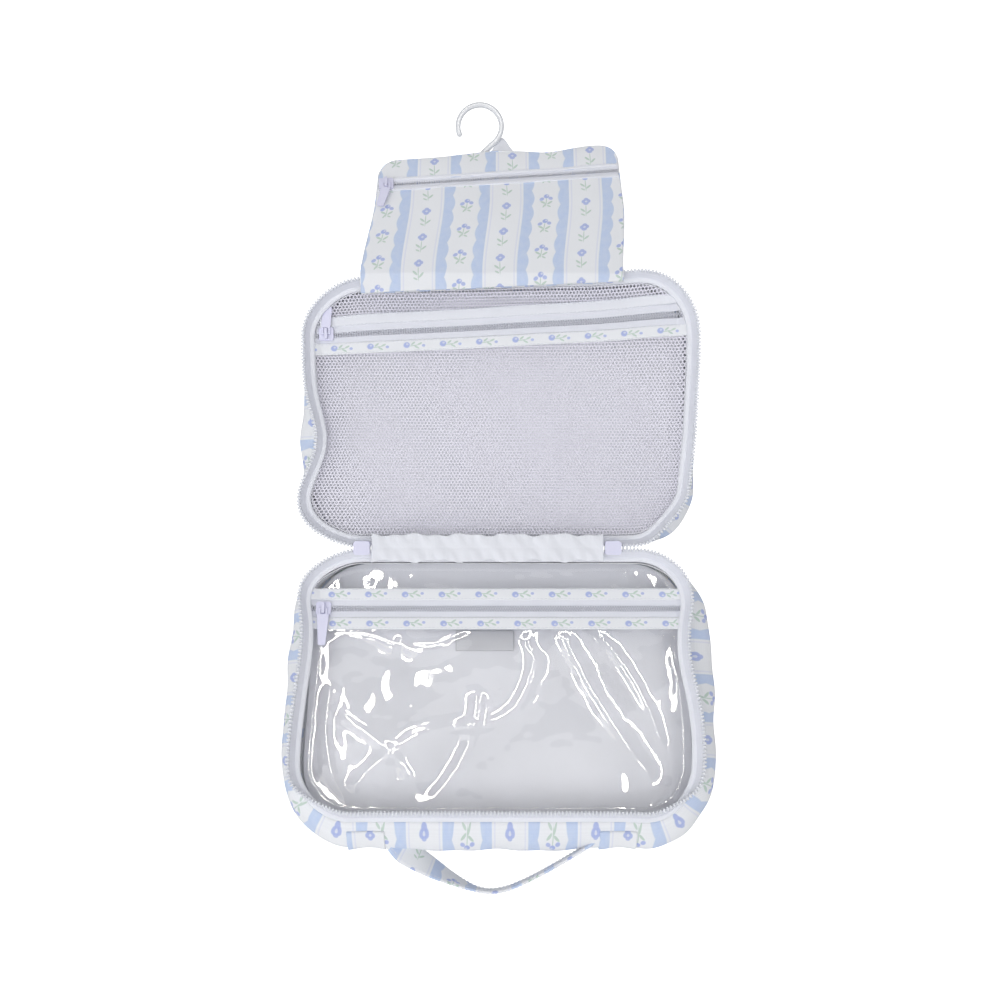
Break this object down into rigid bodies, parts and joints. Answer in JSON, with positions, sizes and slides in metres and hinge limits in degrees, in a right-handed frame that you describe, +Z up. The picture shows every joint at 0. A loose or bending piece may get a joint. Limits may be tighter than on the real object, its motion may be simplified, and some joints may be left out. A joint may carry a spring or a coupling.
{
  "type": "hanging toiletry bag",
  "caption": "Fold-out hanging toiletry bag: a swivel hook on a zipped flap, a mesh-covered tray and a clear-covered tray that close together, and a carry strap.",
  "frame": {"origin": "centre of the hook's bend, where the rail passes through", "axes": "+Z up, +X to the right as seen from the open front, +Y towards the back"},
  "size_m": [0.2672, 0.0907, 0.5369],
  "materials": {
    "white_plastic": "smooth moulded white plastic",
    "enamelled_metal": "white enamel on cast zinc",
    "moulded_teeth": "moulded resin teeth",
    "nylon_coil": "nylon coil",
    "mesh_net": "open knitted net",
    "clear_film": "clear glossy soft film",
    "foam": "thin closed-cell foam",
    "stiffener_board": "flexible board",
    "printed_fabric": "woven cotton blend with a blue striped floral print",
    "floral_binding": "folded bias binding with a small floral print",
    "lining_fabric": "plain white woven lining",
    "label_fabric": "blank satin care label",
    "white_fabric": "plain white woven tape"
  },
  "bodies": {
    "hook": {"hook": "white_plastic"},
    "swivel_sleeve": {"swivel_sleeve": "white_plastic"},
    "flap": {"flap_back_panel": "printed_fabric", "flap_stiffener": "stiffener_board", "flap_edge_hem": "white_fabric", "flap_front_lower": "printed_fabric", "flap_front_upper": "printed_fabric", "flap_zip_tapes": "white_fabric", "flap_zip_coil": "nylon_coil", "flap_base_strip": "printed_fabric", "hook_tab": "white_fabric", "hook_bracket": "white_plastic"},
    "flap_slider": {"flap_slider": "enamelled_metal"},
    "flap_pull": {"flap_pull": "enamelled_metal"},
    "upper_half": {"upper_back_panel": "printed_fabric", "upper_back_foam": "foam", "upper_gusset": "printed_fabric", "upper_lining_back": "lining_fabric", "upper_lining_wall": "lining_fabric", "upper_rim_binding": "white_fabric", "upper_zip_tape": "white_fabric", "upper_zip_teeth": "moulded_teeth", "upper_spine_strip": "white_fabric", "mesh_panel_near_spine": "mesh_net", "mesh_panel_near_rim": "mesh_net", "mesh_zip_tapes": "white_fabric", "mesh_zip_coil": "nylon_coil", "mesh_binding_near_spine": "floral_binding", "mesh_binding_near_rim": "white_fabric", "flap_seam_web": "white_fabric", "main_slider_left": "enamelled_metal", "main_slider_right": "enamelled_metal"},
    "main_pull_left": {"main_pull_left": "enamelled_metal"},
    "main_pull_right": {"main_pull_right": "enamelled_metal"},
    "mesh_slider": {"mesh_slider": "enamelled_metal"},
    "mesh_pull": {"mesh_pull": "enamelled_metal"},
    "lower_half": {"lower_back_panel": "printed_fabric", "lower_back_foam": "foam", "lower_gusset": "printed_fabric", "lower_lining_back": "lining_fabric", "lower_lining_wall": "lining_fabric", "lower_rim_binding": "white_fabric", "lower_zip_tape": "white_fabric", "lower_zip_teeth": "moulded_teeth", "lower_spine_strip": "white_fabric", "window_panel_near_spine": "clear_film", "window_panel_near_rim": "clear_film", "window_zip_tapes": "white_fabric", "window_zip_coil": "nylon_coil", "window_binding_near_spine": "floral_binding", "window_binding_near_rim": "floral_binding", "care_label": "label_fabric", "handle_anchors": "printed_fabric"},
    "window_slider": {"window_slider": "enamelled_metal"},
    "window_pull": {"window_pull": "enamelled_metal"},
    "handle": {"handle_strap": "printed_fabric"}
  },
  "joints": [
    {"name": "hook_swivel", "type": "hinge", "parent": "hook", "child": "swivel_sleeve", "pos_m": [0, 0, -0.028], "axis": [0, 0, 1], "continuous": true},
    {"name": "hook_fold", "type": "hinge", "parent": "swivel_sleeve", "child": "flap", "pos_m": [0, 0, -0.028], "axis": [-1, 0, 0], "range_deg": [-155, 4]},
    {"name": "flap_fold", "type": "hinge", "parent": "flap", "child": "upper_half", "pos_m": [0.014, -0.0409, -0.123], "axis": [-1, 0, 0], "range_deg": [-2, 199.5]},
    {"name": "book_fold", "type": "hinge", "parent": "upper_half", "child": "lower_half", "pos_m": [0.014, -0.04, -0.3], "axis": [-1, 0, 0], "range_deg": [-15, 164.4]},
    {"name": "handle_swing", "type": "hinge", "parent": "lower_half", "child": "handle", "pos_m": [0.014, -0.06989, -0.48497], "axis": [1, 0, 0], "range_deg": [-88, 60]},
    {"name": "flap_zip", "type": "slide", "parent": "flap", "child": "flap_slider", "axis": [0.9972, 0.0269, 0.07], "range_m": [0, 0.155]},
    {"name": "mesh_zip", "type": "slide", "parent": "upper_half", "child": "mesh_slider", "axis": [0.9993, 0, 0.0384], "range_m": [0, 0.222]},
    {"name": "window_zip", "type": "slide", "parent": "lower_half", "child": "window_slider", "axis": [1, 0, 0], "range_m": [0, 0.238]},
    {"name": "flap_pull_flip", "type": "hinge", "parent": "flap_slider", "child": "flap_pull", "pos_m": [-0.065, -0.01952, -0.04608], "axis": [0.9972, 0.0269, 0.07], "range_deg": [-170, 0]},
    {"name": "mesh_pull_flip", "type": "hinge", "parent": "mesh_slider", "child": "mesh_pull", "pos_m": [-0.105, -0.0307, -0.1535], "axis": [0.9993, 0, 0.0384], "range_deg": [0, 173]},
    {"name": "window_pull_flip", "type": "hinge", "parent": "window_slider", "child": "window_pull", "pos_m": [-0.105, -0.04124, -0.34056], "axis": [1, 0, 0], "range_deg": [-170, 0]},
    {"name": "main_pull_left_swing", "type": "hinge", "parent": "upper_half", "child": "main_pull_left", "pos_m": [-0.079, -0.0361, -0.3], "axis": [-1, 0, 0], "range_deg": [0, 15]},
    {"name": "main_pull_right_swing", "type": "hinge", "parent": "upper_half", "child": "main_pull_right", "pos_m": [0.091, -0.0361, -0.3], "axis": [-1, 0, 0], "range_deg": [0, 15]}
  ]
}
